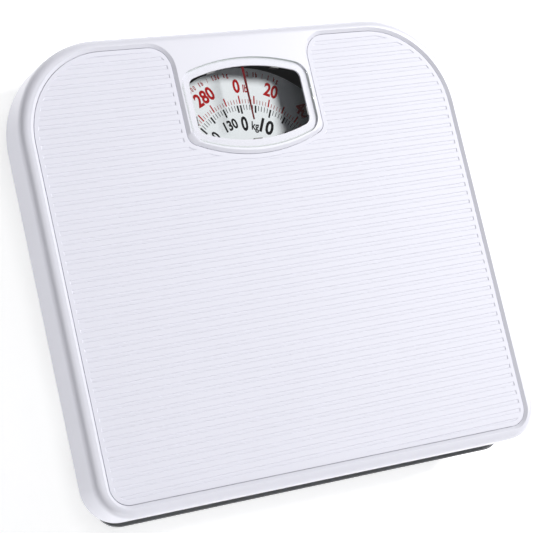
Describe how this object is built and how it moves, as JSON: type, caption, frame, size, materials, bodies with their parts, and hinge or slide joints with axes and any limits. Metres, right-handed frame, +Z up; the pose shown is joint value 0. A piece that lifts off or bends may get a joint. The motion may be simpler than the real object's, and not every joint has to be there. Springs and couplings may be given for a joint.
{
  "type": "mechanical dial platform scale",
  "caption": "Low platform scale with a ribbed top mat and a rotating weight dial read through a window, driven by levers, a spring, a rack and a pinion.",
  "frame": {"origin": "centre of the footprint on the floor", "axes": "+X right, +Y towards the dial end, +Z up"},
  "size_m": [0.269, 0.249, 0.0516],
  "materials": {
    "cover_white": "white baked enamel, satin gloss",
    "mat_white": "white ribbed vinyl, matt",
    "lens_clear": "clear moulded plastic, polished",
    "pointer_red": "dark red",
    "clip_grey": "dull grey",
    "pan_grey": "grey baked enamel",
    "zinc": "bright zinc plate",
    "lever_steel": "zinc-plated pressed steel",
    "spring_steel": "drawn steel wire",
    "wheel_black": "black moulded plastic, knurled",
    "brass": "turned brass",
    "dial_white": "white enamel with printed numerals",
    "foot_rubber": "black moulded rubber"
  },
  "bodies": {
    "base": {"base_pan": "pan_grey", "foot_rivets": "zinc", "bracket_rivets": "zinc", "zero_shelf": "zinc", "spring_hanger": "zinc", "main_spring": "spring_steel", "crank_bracket": "zinc", "crank_pivot": "spring_steel", "dial_bridge": "zinc", "dial_bush": "brass", "bridge_screws": "zinc", "spring_anchor": "zinc", "rack_spring": "spring_steel", "foot_front_left": "foot_rubber", "foot_front_right": "foot_rubber", "foot_rear_left": "foot_rubber", "foot_rear_right": "foot_rubber", "fulcrum_bracket_front_left": "zinc", "fulcrum_bracket_front_right": "zinc", "fulcrum_bracket_rear_left": "zinc", "fulcrum_bracket_rear_right": "zinc", "tie_spring_left": "spring_steel", "tie_spring_right": "spring_steel", "base_hook_left": "zinc", "base_hook_right": "zinc"},
    "platform": {"platform_cover": "cover_white", "ribbed_mat": "mat_white", "lens": "lens_clear", "pointer": "pointer_red", "lens_clips": "clip_grey", "load_bracket_front_left": "zinc", "load_bracket_front_right": "zinc", "load_bracket_rear_left": "zinc", "load_bracket_rear_right": "zinc", "cover_hook_left": "zinc", "cover_hook_right": "zinc"},
    "nose_plate": {"nose_plate": "zinc"},
    "crank": {"bell_crank": "zinc", "crank_pins": "spring_steel"},
    "rack": {"rack": "brass"},
    "dial": {"dial_disc": "dial_white", "dial_hub": "brass", "dial_shaft": "spring_steel", "pinion": "brass"},
    "zero_wheel": {"zero_wheel": "wheel_black"},
    "long_lever_left": {"long_lever_left": "lever_steel", "long_lever_pins_left": "spring_steel"},
    "short_lever_left": {"short_lever_left": "lever_steel", "short_lever_pins_left": "spring_steel"},
    "long_lever_right": {"long_lever_right": "lever_steel", "long_lever_pins_right": "spring_steel"},
    "short_lever_right": {"short_lever_right": "lever_steel", "short_lever_pins_right": "spring_steel"}
  },
  "joints": [
    {"name": "nose_plate_drop", "type": "slide", "parent": "base", "child": "nose_plate", "axis": [0, 0, -1], "range_m": [0, 0.00691], "stiffness_N_per_m": 22372, "springref_m": -0.00006, "deforming": ["main_spring"]},
    {"name": "platform_press", "type": "slide", "parent": "base", "child": "platform", "axis": [0, 0, -1], "range_m": [0, 0.0008], "deforming": ["tie_spring_left", "tie_spring_right"]},
    {"name": "crank_swing", "type": "hinge", "parent": "base", "child": "crank", "pos_m": [0.0045, 0.081, 0.017], "axis": [-1, 0, 0], "range_deg": [0, 64.21]},
    {"name": "rack_slide", "type": "slide", "parent": "base", "child": "rack", "axis": [0, 1, 0], "range_m": [0, 0.01885]},
    {"name": "dial_spin", "type": "hinge", "parent": "base", "child": "dial", "pos_m": [0, 0.043, 0.031], "axis": [0, 0, 1], "range_deg": [0, 360]},
    {"name": "zero_wheel_turn", "type": "hinge", "parent": "base", "child": "zero_wheel", "pos_m": [0, 0.115, 0.027], "axis": [0, 0, 1], "range_deg": [-360, 360]},
    {"name": "long_lever_left_tilt", "type": "hinge", "parent": "base", "child": "long_lever_left", "pos_m": [-0.092, -0.092, 0.021], "axis": [-1, 0, 0], "range_deg": [0, 2.08]},
    {"name": "short_lever_left_tilt", "type": "hinge", "parent": "base", "child": "short_lever_left", "pos_m": [-0.092, 0.092, 0.021], "axis": [1, 0, 0], "range_deg": [0, 2.08]},
    {"name": "long_lever_right_tilt", "type": "hinge", "parent": "base", "child": "long_lever_right", "pos_m": [0.092, -0.092, 0.021], "axis": [-1, 0, 0], "range_deg": [0, 2.08]},
    {"name": "short_lever_right_tilt", "type": "hinge", "parent": "base", "child": "short_lever_right", "pos_m": [0.092, 0.092, 0.021], "axis": [1, 0, 0], "range_deg": [0, 2.08]}
  ],
  "couplings": [
    {"joint": "platform_press", "follows": "nose_plate_drop", "ratio": 0.11579},
    {"joint": "crank_swing", "follows": "nose_plate_drop", "rad_per_m": 162.2},
    {"joint": "rack_slide", "follows": "nose_plate_drop", "ratio": 2.7282},
    {"joint": "dial_spin", "follows": "nose_plate_drop", "rad_per_m": 909.41},
    {"joint": "long_lever_left_tilt", "follows": "nose_plate_drop", "rad_per_m": 5.2632},
    {"joint": "short_lever_left_tilt", "follows": "nose_plate_drop", "rad_per_m": 5.2632},
    {"joint": "long_lever_right_tilt", "follows": "nose_plate_drop", "rad_per_m": 5.2632},
    {"joint": "short_lever_right_tilt", "follows": "nose_plate_drop", "rad_per_m": 5.2632}
  ]
}
